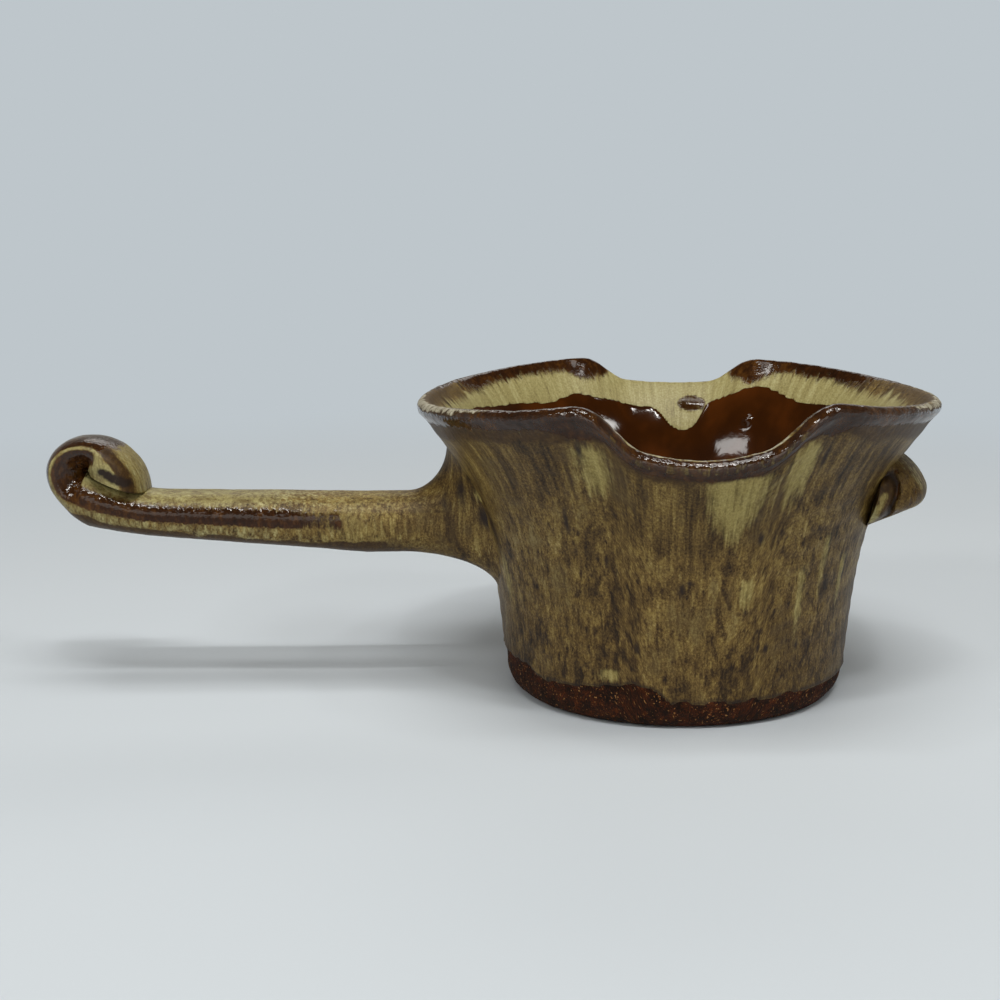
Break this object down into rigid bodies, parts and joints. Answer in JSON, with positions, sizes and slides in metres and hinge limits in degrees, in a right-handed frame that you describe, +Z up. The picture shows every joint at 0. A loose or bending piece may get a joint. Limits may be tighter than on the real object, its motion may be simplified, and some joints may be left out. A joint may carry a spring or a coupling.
{
  "type": "butter warmer",
  "caption": "Small flared stoneware pot with a scalloped pouring rim, a bar handle rolled back at its end and a rolled lug opposite, for melting and pouring butter.",
  "frame": {"origin": "centre of the foot's flat base, on the surface that the pot stands on", "axes": "+Z up, +X from the handle towards the lug, -Y towards the deeper pouring dip"},
  "size_m": [0.196, 0.1072, 0.069],
  "materials": {
    "pot_glaze": "satin olive-tan glaze with running streaks, glossy brown inside, bare rust-brown foot",
    "handle_glaze": "cream-yellow glaze breaking to glossy brown along the edges",
    "lug_glaze": "brown and olive glaze, pooled in the groove of the roll"
  },
  "bodies": {
    "root": {"pot": "pot_glaze", "handle": "handle_glaze", "lug": "lug_glaze"}
  },
  "joints": []
}
